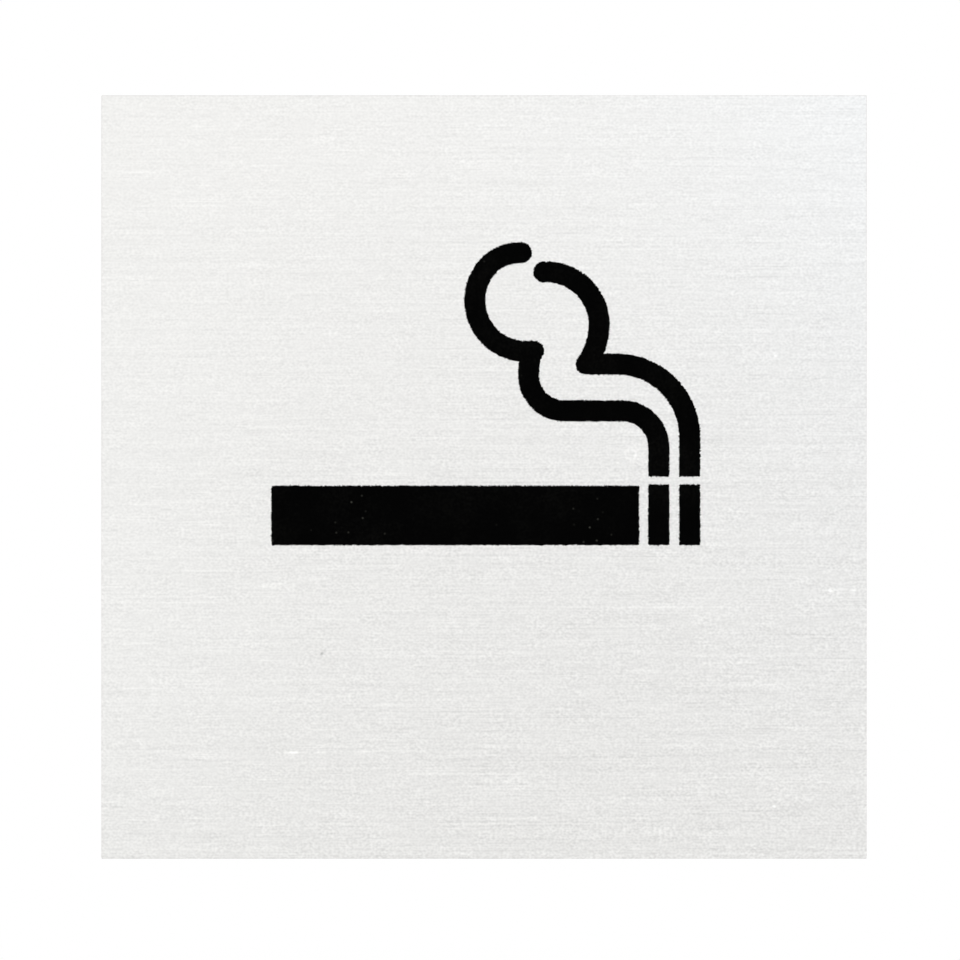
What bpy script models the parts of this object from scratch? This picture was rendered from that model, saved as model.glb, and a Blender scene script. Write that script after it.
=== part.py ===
"""A smoking permitted sign: a printed aluminium plate with foam adhesive on its back.

Metres, +Z up. The sign stands as it is fixed: it faces -Y, its adhesive lies on the wall plane y = 0,
and the origin is the middle of that plane. The pictogram is a cigarette, two bands at its lit end and
two smoke lines that rise from the bands.
"""

import math

import bmesh
import bpy
from mathutils import Vector
from mathutils.geometry import intersect_line_line_2d

# The plate, one piece of brushed sheet cut square, with its cut edges just broken
PLATE_WIDTH = 0.0800
PLATE_HEIGHT = 0.0798
PLATE_THICKNESS = 0.0010
PLATE_EDGE_BREAK = 0.0001

# The double-sided foam sheet, die-cut smaller than the plate all round
ADHESIVE_THICKNESS = 0.0008
ADHESIVE_MARGIN = 0.0020
ADHESIVE_CORNER_RADIUS = 0.0015

# The print, whose place is measured from the plate's left and lower edges
INK_THICKNESS = 0.00004
PRINT_LEFT_MARGIN = 0.0178
PRINT_LOWER_MARGIN = 0.0328

# The cigarette and its two bands, which are as wide as the smoke lines' strokes
CIGARETTE_LENGTH = 0.03838
CIGARETTE_HEIGHT = 0.00617
CIGARETTE_TO_BAND_GAP = 0.0010
STROKE_WIDTH = 0.00216
BAND_HEIGHT = 0.00630
BAND_TO_BAND_GAP = 0.00107
BAND_TO_SMOKE_GAP = 0.00087

# The inner smoke line: up from its band, left along a level run, round a bulb to its cusp, and back
# over the loop to its tip. Levels are heights above the foot of the smoke lines, turns are degrees.
INNER_RUN_LEVEL = 0.00684
INNER_CORNER_RADIUS = 0.00378
INNER_RUN_LENGTH = 0.0061
BULB_RADIUS = 0.00372
BULB_LOWER_TURN = 92.0
BULB_RISE = 0.00072
BULB_UPPER_TURN = 27.3
INNER_CUSP_TURN = 127.7
LOOP_RADIUS = 0.00534
LOOP_TURN = 136.0
LOOP_TIP_RADIUS = 0.00441
LOOP_TIP_TURN = 55.7

# The outer smoke line: the same, with a wide corner, no bulb and one arc over the top. It stops
# short of the inner line's tip by the tip gap.
RUN_TO_RUN_LEVEL = 0.00488
OUTER_CORNER_RADIUS = 0.00761
CUSP_TO_CUSP_SPACING = 0.00553
OUTER_CUSP_TURN = 125.4
ARCH_LOWER_RADIUS = 0.00726
ARCH_LOWER_TURN = 32.3
ARCH_RADIUS = 0.00553
TIP_GAP = 0.00092

# Round stretches are drawn with a point about this often, in degrees
ARC_STEP = 4.0

# Depths of the faces, from the wall towards the viewer
PLATE_BACK = -ADHESIVE_THICKNESS
PLATE_FRONT = PLATE_BACK - PLATE_THICKNESS


# Scene, collection and materials


def clear_scene():
    for thing in list(bpy.data.objects):
        bpy.data.objects.remove(thing, do_unlink=True)


def principled(name, colour, roughness, metallic):
    material = bpy.data.materials.new(name)
    material.use_nodes = True
    shader = material.node_tree.nodes["Principled BSDF"]
    shader.inputs["Base Color"].default_value = (*colour, 1.0)
    shader.inputs["Roughness"].default_value = roughness
    shader.inputs["Metallic"].default_value = metallic
    return material


def add_piece(name, data, material, location):
    """One named sub-part, with its own material, under the sign's origin."""
    data.materials.append(material)
    piece = bpy.data.objects.new(name, data)
    piece.location = location
    piece.parent = origin
    parts.objects.link(piece)
    return piece


# The two ways in which a piece of this sign is made


def slab(name, middle, size, material):
    """A rectangular piece, from a cube primitive."""
    mesh = bpy.data.meshes.new(name)
    shape = bmesh.new()
    bmesh.ops.create_cube(shape, size=1.0)
    bmesh.ops.scale(shape, verts=shape.verts, vec=size)
    shape.to_mesh(mesh)
    shape.free()
    return add_piece(name, mesh, material, middle)


def sheet(name, outline, back, thickness, material):
    """An outline in X and Z, filled, from the depth back towards the viewer by thickness."""
    curve = bpy.data.curves.new(name, "CURVE")
    curve.dimensions = "2D"
    curve.fill_mode = "BOTH"
    curve.extrude = thickness / 2
    spline = curve.splines.new("POLY")
    spline.points.add(len(outline) - 1)
    for target, point in zip(spline.points, outline):
        target.co = (point.x, point.y, 0.0, 1.0)
    spline.use_cyclic_u = True
    piece = add_piece(name, curve, material, (0.0, back - thickness / 2, 0.0))
    piece.rotation_euler = (math.radians(90), 0.0, 0.0)
    return piece


# Outlines, in the plane of the plate: X to the right, and Z as the outline's own Y


def direction(degrees):
    return Vector((math.cos(math.radians(degrees)), math.sin(math.radians(degrees))))


def arc(centre, radius, start, end):
    """Points from the angle start to the angle end, anticlockwise where end is larger."""
    steps = max(1, round(abs(end - start) / ARC_STEP))
    angles = [start + (end - start) * step / steps for step in range(steps + 1)]
    return [centre + radius * direction(angle) for angle in angles]


def rounded_rectangle(width, height, radius):
    outline = []
    for quarter, (side, level) in enumerate(((1, 1), (-1, 1), (-1, -1), (1, -1))):
        centre = Vector((side * (width / 2 - radius), level * (height / 2 - radius)))
        outline += arc(centre, radius, 90 * quarter, 90 * (quarter + 1))
    return outline


class Stretch:
    """A stretch of a printed stroke that has no cusp, drawn by its pen from start along heading.

    left and right are the stroke's two edges, and pen and heading say where it has got to.
    """

    def __init__(self, start, heading):
        self.pen = start
        self.heading = heading
        self.first_heading = heading
        self.left = [start + STROKE_WIDTH / 2 * direction(heading + 90)]
        self.right = [start + STROKE_WIDTH / 2 * direction(heading - 90)]

    def run(self, length):
        self.pen = self.pen + length * direction(self.heading)
        self.left.append(self.pen + STROKE_WIDTH / 2 * direction(self.heading + 90))
        self.right.append(self.pen + STROKE_WIDTH / 2 * direction(self.heading - 90))

    def centre_of_bend(self, radius, side):
        return self.pen + radius * direction(self.heading + side * 90)

    def bend(self, radius, turn):
        """A bend of that centre line radius, to the left where turn is positive."""
        side = math.copysign(1, turn)
        centre = self.centre_of_bend(radius, side)
        start = self.heading - side * 90
        self.left += arc(centre, radius - side * STROKE_WIDTH / 2, start, start + turn)[1:]
        self.right += arc(centre, radius + side * STROKE_WIDTH / 2, start, start + turn)[1:]
        self.pen = centre + radius * direction(start + turn)
        self.heading += turn


def crossed(first, second):
    """Two edges made one at the point where they cross, on the inside of a cusp."""
    for i in range(len(first) - 1, 0, -1):
        for j in range(len(second) - 1):
            point = intersect_line_line_2d(first[i - 1], first[i], second[j], second[j + 1])
            if point:
                return first[:i] + [point] + second[j + 1 :]
    raise ValueError("the two stretches of a smoke line don't meet at its cusp")


def stroke_outline(below, above):
    """The edge of a whole smoke line: its foot is cut square, its cusp and its tip are round."""
    turn = above.first_heading - below.heading
    side = math.copysign(1, turn)
    start = below.heading - side * 90
    round_cusp = arc(below.pen, STROKE_WIDTH / 2, start, start + turn)[1:-1]
    if side > 0:
        left = crossed(below.left, above.left)
        right = below.right + round_cusp + above.right
    else:
        left = below.left + round_cusp + above.left
        right = crossed(below.right, above.right)
    tip = arc(above.pen, STROKE_WIDTH / 2, above.heading - 90, above.heading + 90)[1:-1]
    return right + tip + left[::-1]


def inner_smoke_line(stem, foot):
    below = Stretch(Vector((stem, foot)), 90)
    below.run(INNER_RUN_LEVEL - INNER_CORNER_RADIUS)
    below.bend(INNER_CORNER_RADIUS, 90)
    below.run(INNER_RUN_LENGTH)
    below.bend(BULB_RADIUS, -BULB_LOWER_TURN)
    below.run(BULB_RISE)
    below.bend(BULB_RADIUS, -BULB_UPPER_TURN)
    above = Stretch(below.pen, below.heading + INNER_CUSP_TURN)
    above.bend(LOOP_RADIUS, -LOOP_TURN)
    above.bend(LOOP_TIP_RADIUS, -LOOP_TIP_TURN)
    return below, above


def outer_smoke_line(stem, foot, inner_cusp, inner_tip):
    level = INNER_RUN_LEVEL + RUN_TO_RUN_LEVEL
    cusp = inner_cusp.x + CUSP_TO_CUSP_SPACING
    below = Stretch(Vector((stem, foot)), 90)
    below.run(level - OUTER_CORNER_RADIUS)
    below.bend(OUTER_CORNER_RADIUS, 90)
    below.run(below.pen.x - cusp)
    above = Stretch(below.pen, below.heading - OUTER_CUSP_TURN)
    above.bend(ARCH_LOWER_RADIUS, ARCH_LOWER_TURN)
    above.bend(ARCH_RADIUS, turn_to_tip(above, inner_tip))
    return below, above


def turn_to_tip(line, other_tip):
    """How far the arch turns until its round tip is the tip gap away from the other line's."""
    to_tip = other_tip - line.centre_of_bend(ARCH_RADIUS, 1)
    spacing = STROKE_WIDTH + TIP_GAP
    cosine = (ARCH_RADIUS**2 + to_tip.length_squared - spacing**2) / (2 * ARCH_RADIUS * to_tip.length)
    stop_short = math.degrees(math.acos(min(1.0, max(-1.0, cosine))))
    tip_angle = math.degrees(math.atan2(to_tip.y, to_tip.x))
    return tip_angle - stop_short - (line.heading - 90)


# The sign

clear_scene()
parts = bpy.data.collections.new("smoking_permitted_sign")
bpy.context.scene.collection.children.link(parts)
origin = bpy.data.objects.new("wall_face_origin", None)
parts.objects.link(origin)

plate_metal = principled("brushed_aluminium", (0.80, 0.80, 0.78), 0.40, 1.0)
foam = principled("foam_adhesive", (0.78, 0.78, 0.75), 0.60, 0.0)
ink = principled("black_screen_ink", (0.004, 0.004, 0.004), 0.45, 0.0)

plate_middle = (0.0, (PLATE_BACK + PLATE_FRONT) / 2, 0.0)
plate_size = (PLATE_WIDTH, PLATE_THICKNESS, PLATE_HEIGHT)
plate = slab("sign_plate", plate_middle, plate_size, plate_metal)
edge_break = plate.modifiers.new("edge_break", "BEVEL")
edge_break.width = PLATE_EDGE_BREAK
edge_break.segments = 2

adhesive_outline = rounded_rectangle(
    PLATE_WIDTH - 2 * ADHESIVE_MARGIN,
    PLATE_HEIGHT - 2 * ADHESIVE_MARGIN,
    ADHESIVE_CORNER_RADIUS,
)
sheet("adhesive_sheet", adhesive_outline, 0.0, ADHESIVE_THICKNESS, foam)


def ink_block(name, left, lower, width, height):
    middle = (left + width / 2, PLATE_FRONT - INK_THICKNESS / 2, lower + height / 2)
    slab(name, middle, (width, INK_THICKNESS, height), ink)


print_left = PRINT_LEFT_MARGIN - PLATE_WIDTH / 2
print_lower = PRINT_LOWER_MARGIN - PLATE_HEIGHT / 2
inner_band_left = print_left + CIGARETTE_LENGTH + CIGARETTE_TO_BAND_GAP
outer_band_left = inner_band_left + STROKE_WIDTH + BAND_TO_BAND_GAP
ink_block("print_cigarette", print_left, print_lower, CIGARETTE_LENGTH, CIGARETTE_HEIGHT)
ink_block("print_ember_band_inner", inner_band_left, print_lower, STROKE_WIDTH, BAND_HEIGHT)
ink_block("print_ember_band_outer", outer_band_left, print_lower, STROKE_WIDTH, BAND_HEIGHT)

smoke_foot = print_lower + BAND_HEIGHT + BAND_TO_SMOKE_GAP
inner_line = inner_smoke_line(inner_band_left + STROKE_WIDTH / 2, smoke_foot)
inner_cusp, inner_tip = (stretch.pen for stretch in inner_line)
outer_line = outer_smoke_line(outer_band_left + STROKE_WIDTH / 2, smoke_foot, inner_cusp, inner_tip)
for name, line in (("print_smoke_line_inner", inner_line), ("print_smoke_line_outer", outer_line)):
    sheet(name, stroke_outline(*line), PLATE_FRONT, INK_THICKNESS, ink)
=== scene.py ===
"""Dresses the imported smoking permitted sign: a brushed aluminium plate with a screen-printed
pictogram, stuck to the wall by a foam adhesive sheet. The plate and the adhesive keep their CAD
shapes. The five fields of ink are printed again over their CAD outlines, with the edge that a
printing screen leaves.
"""

import math

import bmesh
import bpy
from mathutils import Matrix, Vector


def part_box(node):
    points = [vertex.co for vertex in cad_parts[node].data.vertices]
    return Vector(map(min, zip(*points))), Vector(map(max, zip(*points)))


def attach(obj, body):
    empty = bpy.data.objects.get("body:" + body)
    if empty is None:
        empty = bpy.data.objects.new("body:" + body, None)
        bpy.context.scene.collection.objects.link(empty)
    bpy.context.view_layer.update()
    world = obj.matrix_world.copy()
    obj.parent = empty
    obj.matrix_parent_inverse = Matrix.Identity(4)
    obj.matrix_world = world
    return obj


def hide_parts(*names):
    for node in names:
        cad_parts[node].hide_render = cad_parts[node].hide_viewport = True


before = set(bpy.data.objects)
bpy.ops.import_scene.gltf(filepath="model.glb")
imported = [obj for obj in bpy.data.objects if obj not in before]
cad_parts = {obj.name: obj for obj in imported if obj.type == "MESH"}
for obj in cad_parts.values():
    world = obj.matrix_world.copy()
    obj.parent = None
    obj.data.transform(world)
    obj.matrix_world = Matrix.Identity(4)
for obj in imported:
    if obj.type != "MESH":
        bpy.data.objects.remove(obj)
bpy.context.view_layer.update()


# Camera
# The photograph looks straight at the face of the sign from some way off, with the plate almost in
# the middle of a square picture. The plate's four edges in the picture settle the distance and aim.
PICTURE_PX = 960
PLATE_LEFT_PX = 101.2
PLATE_RIGHT_PX = 866.9
PLATE_TOP_PX = 95.0
PLATE_BOTTOM_PX = 859.0
LENS_MM = 100
SENSOR_MM = 36

plate_low, plate_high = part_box("sign_plate")
plate_middle = (plate_low + plate_high) / 2
metres_per_px = (plate_high.x - plate_low.x) / (PLATE_RIGHT_PX - PLATE_LEFT_PX)

camera = bpy.data.objects.new("camera", bpy.data.cameras.new("camera"))
camera.data.lens = LENS_MM
camera.data.sensor_width = SENSOR_MM
camera.location = (
    plate_middle.x + (PICTURE_PX - PLATE_LEFT_PX - PLATE_RIGHT_PX) / 2 * metres_per_px,
    plate_low.y - PICTURE_PX * metres_per_px * LENS_MM / SENSOR_MM,
    plate_middle.z - (PICTURE_PX - PLATE_TOP_PX - PLATE_BOTTOM_PX) / 2 * metres_per_px,
)
camera.rotation_euler = (math.radians(90), 0, 0)
bpy.context.scene.collection.objects.link(camera)
bpy.context.scene.camera = camera


# The plate: one square of aluminium sheet, brushed along its width with an abrasive belt, anodised
# clear and cut to size on a guillotine. The CAD shape stays. Its face is a pale satin metal with
# fine grain, its cut edges show a bright burnished band and a dull torn one, and its back is as rolled.
BRUSHED_FACE = "#E7E6E4"
BURNISHED_BAND = "#D2D2CF"
TORN_BAND = "#A8A9A7"
ROLLED_BACK = "#CDCECC"
FACE_ROUGHNESS = 0.34
EDGE_ROUGHNESS = 0.50
BACK_ROUGHNESS = 0.42
ROUGHER_WHERE_LIGHT = 0.25
BRUSHED_ANISOTROPY = 0.3
RELIEF_MM = 0.004
EDGE_BREAK_MM = 0.1

# The patterns in the metal, each with its length along X, Y and Z, in mm, and the detail on it. A belt
# of grit 180 leaves strokes about 0.05 mm wide. They are drawn up to five times as wide, which is as
# fine as the picture can show. Nearly all of a pattern lies within PATTERN_RANGE.
METAL_PATTERNS_MM = {
    "grit specks": ((0.29, 1.0, 0.235), 0.0),
    "short strokes": ((1.4, 1.0, 0.23), 0.0),
    "long strokes": ((7.0, 1.0, 0.23), 0.0),
    "belt lines": ((70.0, 1.0, 0.23), 0.0),
    "keen strokes": ((6.5, 1.0, 0.15), 0.0),
    "patches": ((2.5, 1.0, 1.2), 0.0),
    "edge lines": ((0.18, 2.5, 0.18), 2.0),
    "tear waver": ((1.2, 50.0, 1.2), 3.0),
    "roll lines": ((30.0, 1.0, 0.35), 3.0),
}
PATTERN_RANGE = (0.25, 0.75)

# How much light and dark each layer of the brushing brings, and how unevenly it takes from patch to
# patch. Towards the lower right the grain's contrast grows as painted light and shade, for how the
# light catches the brushed metal there: that is the change in contrast for each mm.
BRUSHING_CONTRAST = {
    "grit specks": 0.245,
    "short strokes": 0.07,
    "long strokes": 0.075,
    "belt lines": 0.065,
}
PATCH_CONTRAST = 1.2
PAINTED_CONTRAST_RIGHT = 0.003
PAINTED_CONTRAST_UP = -0.005

# Here and there one sharp grain of the belt cut a keener stroke. It begins where its pattern strays
# that far from the middle, and is full where it strays further. Light strokes gather at the left and
# dark ones at the right, by that share of their change for each mm.
KEEN_FROM = 0.16
KEEN_FULL = 0.34
KEEN_LIGHTER = 0.054
KEEN_DARKER = -0.052
KEEN_GATHERING = 0.012

# Marks of handling and the belt's strongest strokes: middle to the right and up, length, width, tilt
# in degrees, and how much lighter each is than the metal. Millimetres from the middle of the plate.
MARKS_MM = (
    ("knock", -16.95, -18.45, 0.60, 0.42, 58, -0.55),
    ("tail of the knock", -16.60, -17.98, 0.60, 0.32, 60, -0.10),
    ("burr of the knock", -16.70, -18.68, 0.40, 0.26, 0, 0.20),
    ("scratch", -19.9, -28.78, 1.50, 0.34, 0, 0.34),
    ("scratch going on", -17.3, -28.80, 1.40, 0.26, 0, 0.16),
    ("scratch ending", -12.5, -28.70, 2.40, 0.26, 0, 0.16),
    ("bright fleck", 30.3, -34.4, 0.50, 0.40, 0, 0.34),
    ("bright nick", 36.2, -11.9, 0.60, 0.40, 0, 0.30),
    ("trail of the nick", 37.0, -11.85, 5.0, 0.26, 0, 0.10),
    ("nick further on", 38.65, -11.85, 0.6, 0.34, 0, 0.24),
    ("bright dash", 30.5, 12.7, 0.55, 0.35, 0, 0.28),
    ("graze", -35.9, -27.8, 2.1, 0.36, -47, 0.12),
    ("dark speck", 13.68, 0.75, 0.55, 0.38, 0, -0.18),
    ("fainter dark speck", 13.68, 1.78, 0.40, 0.32, 0, -0.12),
    ("faintest dark speck", 13.39, 2.61, 0.65, 0.55, 0, -0.07),
    ("bright speck", 13.99, 1.48, 0.42, 0.36, 0, 0.17),
    ("skin of the drop", 15.07, 2.62, 0.80, 0.26, 82, 0.06),
    ("middle of the lower drop", -2.46, -9.14, 0.80, 0.95, 0, 0.06),
    ("long pale stroke", 20.5, -13.6, 24.0, 0.40, 0, 0.07),
    ("long dark stroke", 2.2, -13.2, 22.0, 0.40, 0, -0.07),
    ("long pale stroke", -4.0, -31.0, 17.0, 0.40, 0, 0.09),
    ("long pale stroke", 16.3, -34.1, 20.0, 0.40, 0, 0.06),
    ("long dark stroke", 23.1, -22.6, 20.0, 0.40, 0, -0.07),
    ("long dark stroke", 20.0, -29.1, 15.0, 0.40, 0, -0.08),
    ("long pale stroke", 26.7, -21.7, 13.0, 0.40, 0, 0.08),
)
# Rings that drops left as they dried: middle to the right and up, radius, width, and how much lighter
DROP_RINGS_MM = (
    (15.32, 2.38, 0.55, 0.42, 0.10),
    (-2.46, -9.14, 0.95, 0.36, -0.03),
)

# The cut edges: the burnished band's share of the thickness, how far the line of the tear rises and
# falls, how softly it turns, and the darkest and lightest tone of the lines that the blade left. The
# last pair is the same for the rolling lines on the back.
BURNISHED_SHARE = 0.4
TEAR_RISE_MM = 0.4
TEAR_SOFTNESS_MM = 0.03
EDGE_TONES = (0.75, 1.2)
BACK_TONES = (0.93, 1.05)


def linear(colour):
    """An sRGB hex colour as the linear colour that a shader takes."""
    steps = [int(colour[i : i + 2], 16) / 255 for i in (1, 3, 5)]
    curve = [s / 12.92 if s <= 0.04045 else ((s + 0.055) / 1.055) ** 2.4 for s in steps]
    return (*curve, 1.0)


def add(tree, kind, inputs=(), **settings):
    """Adds a node with its settings and its inputs, given in order or by name.

    An input is a value, a socket, a node whose first output feeds it, or a list of such nodes.
    """
    node = tree.nodes.new(kind)
    for name, value in settings.items():
        setattr(node, name, value)
    usable = [s for s in node.inputs if s.enabled]
    named = inputs.items() if isinstance(inputs, dict) else enumerate(inputs)
    for name, value in named:
        target = usable[name] if isinstance(name, int) else next(s for s in usable if s.name == name)
        for feed in value if isinstance(value, list) else [value]:
            if isinstance(feed, bpy.types.Node):
                feed = next(s for s in feed.outputs if s.enabled)
            if isinstance(feed, bpy.types.NodeSocket):
                tree.links.new(feed, target)
            else:
                target.default_value = feed
    return node


def new_material(name):
    """A material, its empty node tree, and the place on the object in millimetres."""
    material = bpy.data.materials.new(name)
    material.use_nodes = True
    tree = material.node_tree
    tree.nodes.clear()
    metres = add(tree, "ShaderNodeTexCoord").outputs["Object"]
    return material, tree, add(tree, "ShaderNodeVectorMath", (metres, 1000), operation="SCALE")


plate_metal, tree, place_mm = new_material("brushed_anodised_aluminium")
right_mm, depth_mm, up_mm = add(tree, "ShaderNodeSeparateXYZ", (place_mm,)).outputs
face_mm = 1000 * plate_low.y
back_mm = 1000 * plate_high.y
pattern = {}
for name, (size_mm, detail) in METAL_PATTERNS_MM.items():
    stretched = add(tree, "ShaderNodeVectorMath", (place_mm, size_mm), operation="DIVIDE")
    noise = {"Vector": stretched, "Scale": 1.0, "Detail": detail}
    pattern[name] = add(tree, "ShaderNodeTexNoise", noise)

# The brushing of the face: by what share each place is lighter or darker than its colour
brushing = -sum(BRUSHING_CONTRAST.values()) / 2
for name, contrast in BRUSHING_CONTRAST.items():
    layer = (pattern[name], contrast, brushing)
    brushing = add(tree, "ShaderNodeMath", layer, operation="MULTIPLY_ADD")
patches = (pattern["patches"], PATCH_CONTRAST, 1 - PATCH_CONTRAST / 2)
patches = add(tree, "ShaderNodeMath", patches, operation="MULTIPLY_ADD")
brushing = add(tree, "ShaderNodeMath", (brushing, patches), operation="MULTIPLY")
for side, change in ((1, KEEN_LIGHTER), (-1, KEEN_DARKER)):
    change = (right_mm, -side * KEEN_GATHERING * change, change)
    change = add(tree, "ShaderNodeMath", change, operation="MULTIPLY_ADD")
    stroke = (pattern["keen strokes"], 0.5 + side * KEEN_FROM, 0.5 + side * KEEN_FULL, 0.0, change)
    stroke = add(tree, "ShaderNodeMapRange", stroke)
    brushing = add(tree, "ShaderNodeMath", (stroke, brushing), operation="ADD")
# The grain's contrast grows towards the lower right: painted light and shade, for how the lamps catch the
# brushed metal there
painted_contrast = add(tree, "ShaderNodeMath", (right_mm, PAINTED_CONTRAST_RIGHT, 1.0), operation="MULTIPLY_ADD")
painted_contrast = add(tree, "ShaderNodeMath", (up_mm, PAINTED_CONTRAST_UP, painted_contrast), operation="MULTIPLY_ADD")
brushing = add(tree, "ShaderNodeMath", (brushing, painted_contrast), operation="MULTIPLY")

# The marks on it, each a spot that fades to its rim, and the rings
face_tone = add(tree, "ShaderNodeMath", (brushing, 1.0), operation="ADD")
for _, right, up, length, width, tilt, lighter in MARKS_MM:
    patch = {
        "Vector": place_mm,
        "Location": (right, face_mm, up),
        "Rotation": (0, math.radians(-tilt), 0),
        "Scale": (length / 2, 1.0, width / 2),
    }
    patch = add(tree, "ShaderNodeMapping", patch, vector_type="TEXTURE")
    spot = add(tree, "ShaderNodeTexGradient", (patch,), gradient_type="SPHERICAL").outputs["Fac"]
    face_tone = add(tree, "ShaderNodeMath", (spot, lighter, face_tone), operation="MULTIPLY_ADD")
for right, up, radius, width, lighter in DROP_RINGS_MM:
    middle = (right, face_mm, up)
    from_ring = add(tree, "ShaderNodeVectorMath", (place_mm, middle), operation="DISTANCE")
    from_ring = add(tree, "ShaderNodeMath", (from_ring, radius), operation="SUBTRACT")
    from_ring = add(tree, "ShaderNodeMath", (from_ring,), operation="ABSOLUTE")
    ring = add(tree, "ShaderNodeMapRange", (from_ring, 0.0, width / 2, lighter, 0.0))
    face_tone = add(tree, "ShaderNodeMath", (ring, face_tone), operation="ADD")
face = add(tree, "ShaderNodeVectorMath", (linear(BRUSHED_FACE)[:3], face_tone), operation="SCALE")

# The cut edges, with the burnished band at the face and the torn one behind it
tear_mm = face_mm + BURNISHED_SHARE * (back_mm - face_mm)
tear_mm = (pattern["tear waver"], TEAR_RISE_MM, tear_mm - TEAR_RISE_MM / 2)
tear_mm = add(tree, "ShaderNodeMath", tear_mm, operation="MULTIPLY_ADD")
past_tear = add(tree, "ShaderNodeMath", (depth_mm, tear_mm), operation="SUBTRACT")
torn = add(tree, "ShaderNodeMapRange", (past_tear, -TEAR_SOFTNESS_MM, TEAR_SOFTNESS_MM, 0.0, 1.0))
bands = {"Factor": torn, "A": linear(BURNISHED_BAND), "B": linear(TORN_BAND)}
edge = add(tree, "ShaderNodeMix", bands, data_type="RGBA")
edge_tone = (pattern["edge lines"], *PATTERN_RANGE, *EDGE_TONES)
edge_tone = add(tree, "ShaderNodeMapRange", edge_tone)
edge = add(tree, "ShaderNodeVectorMath", (edge, edge_tone), operation="SCALE")

# The rolled back
back_tone = (pattern["roll lines"], *PATTERN_RANGE, *BACK_TONES)
back_tone = add(tree, "ShaderNodeMapRange", back_tone)
back = add(tree, "ShaderNodeVectorMath", (linear(ROLLED_BACK)[:3], back_tone), operation="SCALE")

# All three on one plate
is_edge = add(tree, "ShaderNodeMath", (depth_mm, face_mm + EDGE_BREAK_MM), operation="GREATER_THAN")
is_back = add(tree, "ShaderNodeMath", (depth_mm, back_mm - EDGE_BREAK_MM / 2), operation="GREATER_THAN")
colour = add(tree, "ShaderNodeMix", {"Factor": is_edge, "A": face, "B": edge}, data_type="RGBA")
colour = add(tree, "ShaderNodeMix", {"Factor": is_back, "A": colour, "B": back}, data_type="RGBA")
roughness = (brushing, ROUGHER_WHERE_LIGHT, FACE_ROUGHNESS)
roughness = add(tree, "ShaderNodeMath", roughness, operation="MULTIPLY_ADD")
roughness = add(tree, "ShaderNodeMix", (is_edge, roughness, EDGE_ROUGHNESS))
roughness = add(tree, "ShaderNodeMix", (is_back, roughness, BACK_ROUGHNESS))
relief = add(tree, "ShaderNodeMix", (is_edge, brushing, pattern["edge lines"]))
relief = add(tree, "ShaderNodeMix", (is_back, relief, pattern["roll lines"]))
relief = add(tree, "ShaderNodeBump", {"Distance": RELIEF_MM / 1000, "Height": relief})
# A tangent that runs round the X axis points across the strokes, where brushed metal scatters widest
across_strokes = add(tree, "ShaderNodeTangent", direction_type="RADIAL", axis="X")
surface = {
    "Base Color": colour,
    "Metallic": 1.0,
    "Roughness": roughness,
    "Anisotropic": BRUSHED_ANISOTROPY,
    "Tangent": across_strokes,
    "Normal": relief,
}
add(tree, "ShaderNodeOutputMaterial", (add(tree, "ShaderNodeBsdfPrincipled", surface),))

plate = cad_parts["sign_plate"]
plate.data.materials[0] = plate_metal


# The pictogram: five fields of black two-pack ink, laid on the plate through a printing screen. The
# ink dries dead matt and a few hundredths of a millimetre thick. The mesh of the screen leaves the
# edges a little wavering and a few pinholes where the ink did not quite close.
INK = "#010101"
INK_THIN = "#0A0A09"
PINHOLE = "#3E3E39"
INK_ROUGHNESS = 0.62
ROUGHER_BY_WEAVE = 0.12
INK_SPECULAR = 0.015
INK_RELIEF_MM = 0.004
# The weave of the screen, drawn three times as coarse as its threads so that it shows, and the wide
# clouds of a slightly thinner film. The film is thin where the product of both is past the first of
# the pair, and thinnest at the second.
WEAVE_MM = 0.25
WEAVE_DETAIL = 2.0
CLOUD_MM = 6.0
CLOUD_DETAIL = 3.0
THIN_RANGE = (0.22, 0.48)
PINHOLE_SPACING_MM = 1.3
PINHOLE_RADIUS_MM = 0.15
# Where pinholes crowd, in millimetres from the plate's middle: to the right, upwards and how far round
CROWDED_MM = ((-13.5, -4.0, 5.0), (12.0, -4.8, 4.0))
PINHOLES_IN_CROWD = 0.55
PINHOLES_ELSEWHERE = 0.02
# The edge, in metres. The ink creeps out under the screen by the spread. It then wavers by up to a
# third of EDGE_WAVER to either side, about once for each thread of the screen, 0.08 mm apart. The
# corner evening is how often the way across is averaged along the edge.
EDGE_POINT_SPACING = 0.000025
INK_SPREAD = 0.000027
EDGE_WAVER = 0.00045
WAVER_LENGTH = 0.000072
CORNER_EVENING = 60
PRINT_SEED = 7.3
# A face is a field's front where its normal's Y is no more than this. Points are one where they are
# no further apart than the last two, in a CAD mesh and in a printed field.
FRONT_NORMAL_Y = -0.9
SAME_CAD_POINT = 1e-6
SAME_PRINT_POINT = 1e-7

ink_material, tree, place_mm = new_material("black_screen_ink")
right_mm, _, up_mm = add(tree, "ShaderNodeSeparateXYZ", (place_mm,)).outputs
weave = {"Vector": place_mm, "Scale": 1 / WEAVE_MM, "Detail": WEAVE_DETAIL}
weave = add(tree, "ShaderNodeTexNoise", weave)
clouds = {"Vector": place_mm, "Scale": 1 / CLOUD_MM, "Detail": CLOUD_DETAIL}
clouds = add(tree, "ShaderNodeTexNoise", clouds)
thin = add(tree, "ShaderNodeMath", (weave, clouds), operation="MULTIPLY")
thin = add(tree, "ShaderNodeMapRange", (thin, *THIN_RANGE, 0.0, 1.0))
film = {"Factor": thin, "A": linear(INK), "B": linear(INK_THIN)}
film = add(tree, "ShaderNodeMix", film, data_type="RGBA")
on_face = add(tree, "ShaderNodeCombineXYZ", (right_mm, up_mm))
cells = {"Vector": on_face, "Scale": 1 / PINHOLE_SPACING_MM}
cells = add(tree, "ShaderNodeTexVoronoi", cells, voronoi_dimensions="2D")
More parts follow.
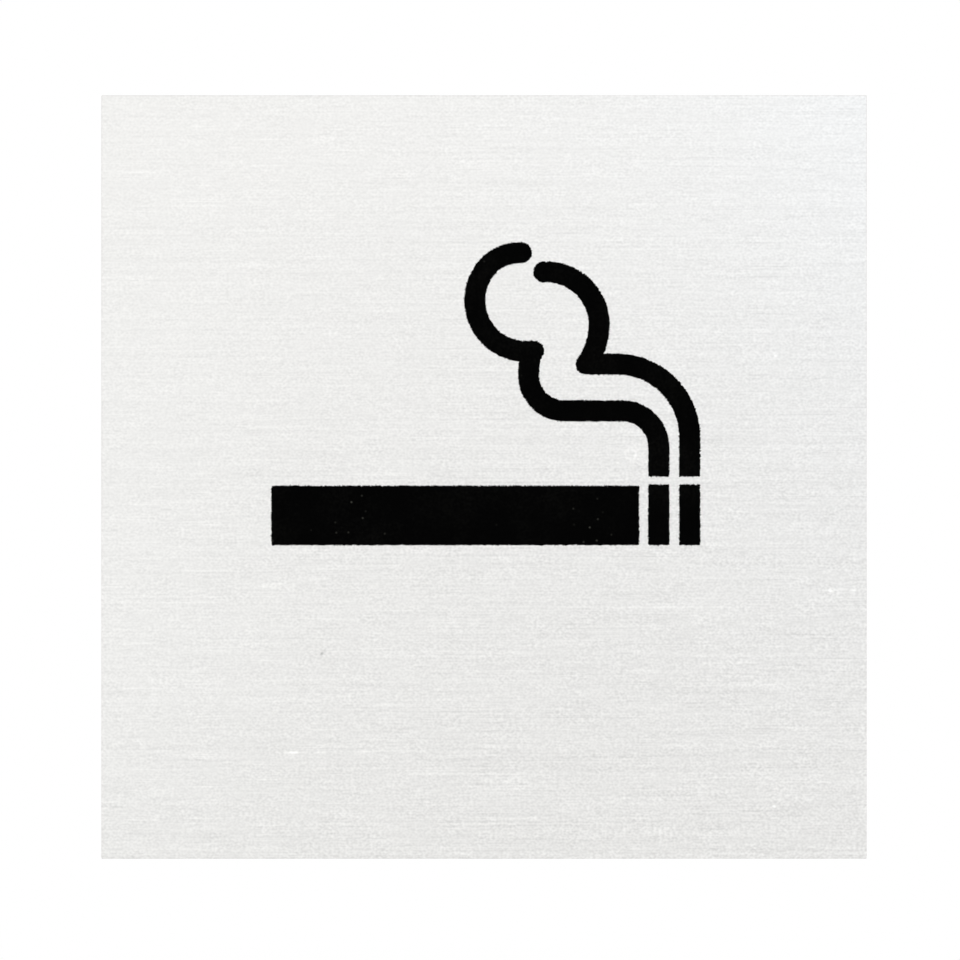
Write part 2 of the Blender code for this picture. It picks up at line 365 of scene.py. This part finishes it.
near = (cells, PINHOLE_RADIUS_MM / PINHOLE_SPACING_MM, 0.0, 0.0, 1.0)
near = add(tree, "ShaderNodeMapRange", near)
chance = add(tree, "ShaderNodeSeparateColor", (cells.outputs["Color"],))
share = PINHOLES_ELSEWHERE
for right, up, reach in CROWDED_MM:
    from_crowd = add(tree, "ShaderNodeVectorMath", (on_face, (right, up, 0.0)), operation="DISTANCE")
    crowd = (from_crowd, reach / 2, reach, PINHOLES_IN_CROWD, PINHOLES_ELSEWHERE)
    crowd = add(tree, "ShaderNodeMapRange", crowd)
    share = add(tree, "ShaderNodeMath", (crowd, share), operation="MAXIMUM")
kept = add(tree, "ShaderNodeMath", (chance, share), operation="LESS_THAN")
pinhole = add(tree, "ShaderNodeMath", (near, kept), operation="MULTIPLY")
pinhole = add(tree, "ShaderNodeMath", (pinhole, chance.outputs["Green"]), operation="MULTIPLY")
film = {"Factor": pinhole, "A": film, "B": linear(PINHOLE)}
film = add(tree, "ShaderNodeMix", film, data_type="RGBA")
relief = add(tree, "ShaderNodeBump", {"Distance": INK_RELIEF_MM / 1000, "Height": weave})
roughness = (weave, ROUGHER_BY_WEAVE, INK_ROUGHNESS - ROUGHER_BY_WEAVE / 2)
roughness = add(tree, "ShaderNodeMath", roughness, operation="MULTIPLY_ADD")
surface = {
    "Base Color": film,
    "Roughness": roughness,
    "Specular IOR Level": INK_SPECULAR,
    "Normal": relief,
}
add(tree, "ShaderNodeOutputMaterial", (add(tree, "ShaderNodeBsdfPrincipled", surface),))


def printing_tree():
    """Geometry nodes that print a field again: the front outline of a CAD field spreads and wavers as
    a screen's edge does, is filled, and is raised to the ink's thickness.
    """
    tree = bpy.data.node_groups.new("screen_printed_field", "GeometryNodeTree")
    tree.interface.new_socket("Geometry", in_out="INPUT", socket_type="NodeSocketGeometry")
    depths = ("Face Depth", "Ink Thickness")
    edges = ("Edge Point Spacing", "Ink Spread", "Edge Waver", "Waver Length", "Seed")
    for name in depths + edges:
        tree.interface.new_socket(name, in_out="INPUT", socket_type="NodeSocketFloat")
    tree.interface.new_socket("Corner Evening", in_out="INPUT", socket_type="NodeSocketInt")
    tree.interface.new_socket("Ink", in_out="INPUT", socket_type="NodeSocketMaterial")
    tree.interface.new_socket("Geometry", in_out="OUTPUT", socket_type="NodeSocketGeometry")
    given = add(tree, "NodeGroupInput").outputs

    # The outline of the field's front, whose edges have fewer than two faces
    normal = add(tree, "ShaderNodeSeparateXYZ", (add(tree, "GeometryNodeInputNormal"),)).outputs
    not_front = add(tree, "ShaderNodeMath", (normal["Y"], FRONT_NORMAL_Y), operation="GREATER_THAN")
    front = add(tree, "GeometryNodeDeleteGeometry", (given["Geometry"], not_front), domain="FACE")
    faces = add(tree, "GeometryNodeInputMeshEdgeNeighbors")
    rim = add(tree, "ShaderNodeMath", (faces, 2.0), operation="LESS_THAN")
    outline = {"Curve": add(tree, "GeometryNodeMeshToCurve", (front, rim))}
    outline["Length"] = given["Edge Point Spacing"]
    outline = add(tree, "GeometryNodeResampleCurve", outline, mode="LENGTH")

    # Which way round the outline runs: 1 where its outside is along the tangent crossed with Y, or -1
    place = add(tree, "GeometryNodeInputPosition")
    tangent = add(tree, "GeometryNodeInputTangent")
    swept = add(tree, "ShaderNodeVectorMath", (place, tangent), operation="CROSS_PRODUCT")
    swept = add(tree, "ShaderNodeVectorMath", (swept, (0.0, 1.0, 0.0)), operation="DOT_PRODUCT")
    swept = add(tree, "GeometryNodeAttributeStatistic", {"Geometry": outline, "Attribute": swept})
    way_round = add(tree, "ShaderNodeMath", (swept.outputs["Sum"],), operation="SIGN")

    # The spread of the ink and the waver of its edge, across the outline within the plane of the plate.
    # The way across is evened out along the outline, so that the sides of a sharp corner don't cross.
    scaled = add(tree, "ShaderNodeVectorMath", (place, [given["Waver Length"]]), operation="DIVIDE")
    noise = {"Vector": scaled, "W": given["Seed"], "Scale": 1.0, "Detail": 1.0}
    noise = add(tree, "ShaderNodeTexNoise", noise, noise_dimensions="4D")
    waver = add(tree, "ShaderNodeMath", (noise, 0.5), operation="SUBTRACT")
    waver = add(tree, "ShaderNodeMath", (waver, given["Edge Waver"]), operation="MULTIPLY")
    spread = (way_round, given["Ink Spread"], waver)
    spread = add(tree, "ShaderNodeMath", spread, operation="MULTIPLY_ADD")
    across = add(tree, "ShaderNodeVectorMath", (tangent, (0.0, 1.0, 0.0)), operation="CROSS_PRODUCT")
    across = (across, given["Corner Evening"])
    across = add(tree, "GeometryNodeBlurAttribute", across, data_type="FLOAT_VECTOR")
    spread = add(tree, "ShaderNodeVectorMath", (across, spread), operation="SCALE")
    outline = add(tree, "GeometryNodeSetPosition", {"Geometry": outline, "Offset": spread})

    # Filled and raised lying down, because a curve fills in its own X and Y, and stood up again
    lying = {"Geometry": outline, "Rotation": (math.radians(-90), 0, 0)}
    lying = add(tree, "GeometryNodeTransform", lying)
    film = add(tree, "GeometryNodeFillCurve", (lying,))
    raised = {"Mesh": film, "Offset Scale": given["Ink Thickness"], "Individual": False}
    raised = add(tree, "GeometryNodeExtrudeMesh", raised)
    underside = add(tree, "GeometryNodeFlipFaces", (film,))
    closed = add(tree, "GeometryNodeJoinGeometry", ([raised, underside],))
    closed = add(tree, "GeometryNodeMergeByDistance", {"Geometry": closed, "Distance": SAME_PRINT_POINT})
    up_on_face = add(tree, "ShaderNodeCombineXYZ", {"Y": given["Face Depth"]})
    standing = {"Geometry": closed, "Translation": up_on_face, "Rotation": (math.radians(90), 0, 0)}
    standing = add(tree, "GeometryNodeTransform", standing)
    whole = add(tree, "GeometryNodeRealizeInstances", (standing,))
    inked = add(tree, "GeometryNodeSetMaterial", {"Geometry": whole, "Material": given["Ink"]})
    add(tree, "NodeGroupOutput", (inked,))
    return tree


printing = printing_tree()
printing_inputs = [item for item in printing.interface.items_tree if item.in_out == "INPUT"]
socket_of = {item.name: item.identifier for item in printing_inputs}


def print_field(node, name):
    """Prints one CAD field again as a plain mesh of its own."""
    low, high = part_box(node)
    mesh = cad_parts[node].data.copy()
    merged = bmesh.new()
    merged.from_mesh(mesh)
    bmesh.ops.remove_doubles(merged, verts=merged.verts, dist=SAME_CAD_POINT)
    merged.to_mesh(mesh)
    merged.free()
    block = bpy.data.objects.new(name + "_block", mesh)
    bpy.context.scene.collection.objects.link(block)
    modifier = block.modifiers.new("printing", "NODES")
    modifier.node_group = printing
    modifier[socket_of["Face Depth"]] = high.y
    modifier[socket_of["Ink Thickness"]] = high.y - low.y
    modifier[socket_of["Edge Point Spacing"]] = EDGE_POINT_SPACING
    modifier[socket_of["Ink Spread"]] = INK_SPREAD
    modifier[socket_of["Edge Waver"]] = EDGE_WAVER
    modifier[socket_of["Waver Length"]] = WAVER_LENGTH
    modifier[socket_of["Seed"]] = PRINT_SEED
    modifier[socket_of["Corner Evening"]] = CORNER_EVENING
    modifier[socket_of["Ink"]] = ink_material
    evaluated = block.evaluated_get(bpy.context.evaluated_depsgraph_get())
    field = bpy.data.objects.new(name, bpy.data.meshes.new_from_object(evaluated))
    bpy.context.scene.collection.objects.link(field)
    bpy.data.objects.remove(block)
    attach(field, "root")
    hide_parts(node)


print_field("print_cigarette", "ink_cigarette")
print_field("print_ember_band_inner", "ink_ember_band_inner")
print_field("print_ember_band_outer", "ink_ember_band_outer")
print_field("print_smoke_line_inner", "ink_smoke_line_inner")
print_field("print_smoke_line_outer", "ink_smoke_line_outer")


# The adhesive: a sheet of white closed-cell foam with a film of acrylic glue on both faces, die-cut
# with rounded corners. The CAD shape stays. Its cut sides show the open cells of the foam, each pit
# darkened with painted shade. The film that meets the wall is satin and clear, so the cells and their
# painted shade show faintly through it, with a few bubbles.
FOAM = "#EEEDE9"
PAINTED_PIT_SHADE = "#D3D2CC"
GLUE_FILM = "#ECEBE6"
GLUE_CLOUD = "#E9E8E2"
FOAM_ROUGHNESS = 0.85
FILM_ROUGHNESSES = (0.34, 0.48)
GLUE_RELIEF_MM = 0.03
FILM_DEPTH_MM = 0.01
# A pit is as deep, and its painted shade as dark, as it gets up to the first of the pair, as a share
# of a cell, and ends at the second
FOAM_CELL_MM = 0.26
PIT_RANGE = (0.15, 0.55)
PIT_SHADE_THROUGH_FILM = 0.35
GLUE_CLOUD_MM = 9.0
GLUE_CLOUD_DETAIL = 3.0
GLUE_CLOUD_RANGE = (0.35, 0.7)
GLUE_CLOUD_RELIEF = 0.5
BUBBLE_SPACING_MM = 3.5
BUBBLE_RADIUS_MM = 0.28

foam_material, tree, place_mm = new_material("white_foam_with_acrylic_glue")
_, depth_mm, _ = add(tree, "ShaderNodeSeparateXYZ", (place_mm,)).outputs
_, glue_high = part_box("adhesive_sheet")
cells = add(tree, "ShaderNodeTexVoronoi", {"Vector": place_mm, "Scale": 1 / FOAM_CELL_MM})
# Each pit is darkened with painted shade, darkest at the middle of its cell
pits = add(tree, "ShaderNodeMapRange", (cells, *PIT_RANGE, 1.0, 0.0))
foam = {"Factor": pits, "A": linear(FOAM), "B": linear(PAINTED_PIT_SHADE)}
foam = add(tree, "ShaderNodeMix", foam, data_type="RGBA")
clouds = {"Vector": place_mm, "Scale": 1 / GLUE_CLOUD_MM, "Detail": GLUE_CLOUD_DETAIL}
clouds = add(tree, "ShaderNodeTexNoise", clouds)
clouds = add(tree, "ShaderNodeMapRange", (clouds, *GLUE_CLOUD_RANGE, 0.0, 1.0))
film = {"Factor": clouds, "A": linear(GLUE_FILM), "B": linear(GLUE_CLOUD)}
film = add(tree, "ShaderNodeMix", film, data_type="RGBA")
# The painted shade of the pits shows faintly through the film
seen_pit_shade = add(tree, "ShaderNodeMath", (pits, PIT_SHADE_THROUGH_FILM), operation="MULTIPLY")
film = {"Factor": seen_pit_shade, "A": film, "B": linear(PAINTED_PIT_SHADE)}
film = add(tree, "ShaderNodeMix", film, data_type="RGBA")
bubbles = add(tree, "ShaderNodeTexVoronoi", {"Vector": place_mm, "Scale": 1 / BUBBLE_SPACING_MM})
bubble = (bubbles, BUBBLE_RADIUS_MM / BUBBLE_SPACING_MM, 0.0, 0.0, 1.0)
bubble = add(tree, "ShaderNodeMapRange", bubble)
film_starts_mm = 1000 * glue_high.y - FILM_DEPTH_MM
is_film = add(tree, "ShaderNodeMath", (depth_mm, film_starts_mm), operation="GREATER_THAN")
colour = add(tree, "ShaderNodeMix", {"Factor": is_film, "A": foam, "B": film}, data_type="RGBA")
roughness = add(tree, "ShaderNodeMapRange", (clouds, 0.0, 1.0, *FILM_ROUGHNESSES))
roughness = add(tree, "ShaderNodeMix", (is_film, FOAM_ROUGHNESS, roughness))
pit_relief = add(tree, "ShaderNodeMath", (pits, -1.0), operation="MULTIPLY")
film_relief = add(tree, "ShaderNodeMath", (clouds, GLUE_CLOUD_RELIEF, bubble), operation="MULTIPLY_ADD")
relief = add(tree, "ShaderNodeMix", (is_film, pit_relief, film_relief))
relief = add(tree, "ShaderNodeBump", {"Distance": GLUE_RELIEF_MM / 1000, "Height": relief})
surface = {"Base Color": colour, "Roughness": roughness, "Normal": relief}
add(tree, "ShaderNodeOutputMaterial", (add(tree, "ShaderNodeBsdfPrincipled", surface),))

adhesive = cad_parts["adhesive_sheet"]
adhesive.data.materials[0] = foam_material


# Studio: a white room with a pale floor below the sign. Three large soft panels stand in front and
# show in the brushed metal. Three more lamps give the rest of the light, and the metal does not
# mirror them, so that it keeps its tone from every side.
ROOM_LIGHT = 0.5
PANEL_SIZE = 0.7
PANEL_DISTANCE = 1.1
# The floor, in metres as the panels are, has turned plain white by twice the reach of the shadow. It
# ends soon after, so that it doesn't stand between the plate and the low panel at the left.
FLOOR_COLOUR = "#F4F4F2"
FLOOR_DROP = 0.06
FLOOR_RADIUS = 0.34
FLOOR_SEGMENTS = 96
SHADOW_REACH = 0.16

scene = bpy.context.scene
scene.view_settings.view_transform = "Standard"


def seen_plainly(tree):
    """1 for the rays that should meet plain white: the camera's, and those of gloss and of glass."""
    ray = add(tree, "ShaderNodeLightPath").outputs
    seen = add(tree, "ShaderNodeMath", (ray["Is Camera Ray"], ray["Is Glossy Ray"]), operation="ADD")
    return add(tree, "ShaderNodeMath", (seen, ray["Is Transmission Ray"]), operation="ADD", use_clamp=True)


room = bpy.data.worlds.new("white_room")
room.use_nodes = True
tree = room.node_tree
tree.nodes.clear()
strength = add(tree, "ShaderNodeMix", (seen_plainly(tree), ROOM_LIGHT, 1.0))
walls = add(tree, "ShaderNodeBackground", {"Color": (1, 1, 1, 1), "Strength": strength})
add(tree, "ShaderNodeOutputWorld", (walls,))
scene.world = room


def soft_lamp(name, azimuth, elevation, watts, colour, in_gloss):
    """A square panel that faces the sign. Azimuth 0 is straight in front, and 90 is to the right."""
    lamp = bpy.data.objects.new(name, bpy.data.lights.new(name, "AREA"))
    lamp.data.shape = "SQUARE"
    lamp.data.size = PANEL_SIZE
    lamp.data.energy = watts
    lamp.data.color = linear(colour)[:3]
    lamp.visible_glossy = in_gloss
    turn = math.radians(azimuth)
    rise = math.radians(elevation)
    towards = Vector((math.sin(turn) * math.cos(rise), -math.cos(turn) * math.cos(rise), math.sin(rise)))
    lamp.location = plate_middle + PANEL_DISTANCE * towards
    lamp.rotation_euler = (-towards).to_track_quat("-Z", "Y").to_euler()
    scene.collection.objects.link(lamp)


soft_lamp("upper_panel", azimuth=0, elevation=25, watts=0.32, colour="#FFFFFB", in_gloss=True)
soft_lamp("right_panel", azimuth=30, elevation=25, watts=0.78, colour="#BCDCFF", in_gloss=True)
soft_lamp("left_panel", azimuth=-25, elevation=-10, watts=0.34, colour="#F2FCFF", in_gloss=True)
soft_lamp("key_lamp", azimuth=-35, elevation=50, watts=5.0, colour="#FFFFFF", in_gloss=False)
soft_lamp("fill_lamp", azimuth=55, elevation=35, watts=2.5, colour="#FFFFFF", in_gloss=False)
soft_lamp("back_lamp", azimuth=160, elevation=35, watts=4.5, colour="#FFFFFF", in_gloss=False)

paper, tree, place_mm = new_material("white_studio_paper")
from_middle = add(tree, "ShaderNodeVectorMath", (place_mm,), operation="LENGTH")
away = {"Value": from_middle, "From Min": 1000 * SHADOW_REACH, "From Max": 2000 * SHADOW_REACH}
away = add(tree, "ShaderNodeMapRange", away, interpolation_type="SMOOTHSTEP")
plain = add(tree, "ShaderNodeMath", (away, seen_plainly(tree)), operation="MULTIPLY")
lit = add(tree, "ShaderNodeBsdfDiffuse", {"Color": linear(FLOOR_COLOUR)})
white = add(tree, "ShaderNodeEmission", {"Color": (1, 1, 1, 1), "Strength": 1.0})
add(tree, "ShaderNodeOutputMaterial", (add(tree, "ShaderNodeMixShader", (plain, lit, white)),))

disc = bmesh.new()
bmesh.ops.create_circle(disc, cap_ends=True, segments=FLOOR_SEGMENTS, radius=FLOOR_RADIUS)
bmesh.ops.translate(disc, verts=disc.verts, vec=(0, 0, plate_low.z - FLOOR_DROP))
floor = bpy.data.objects.new("floor", bpy.data.meshes.new("floor"))
disc.to_mesh(floor.data)
disc.free()
floor.data.materials.append(paper)
scene.collection.objects.link(floor)
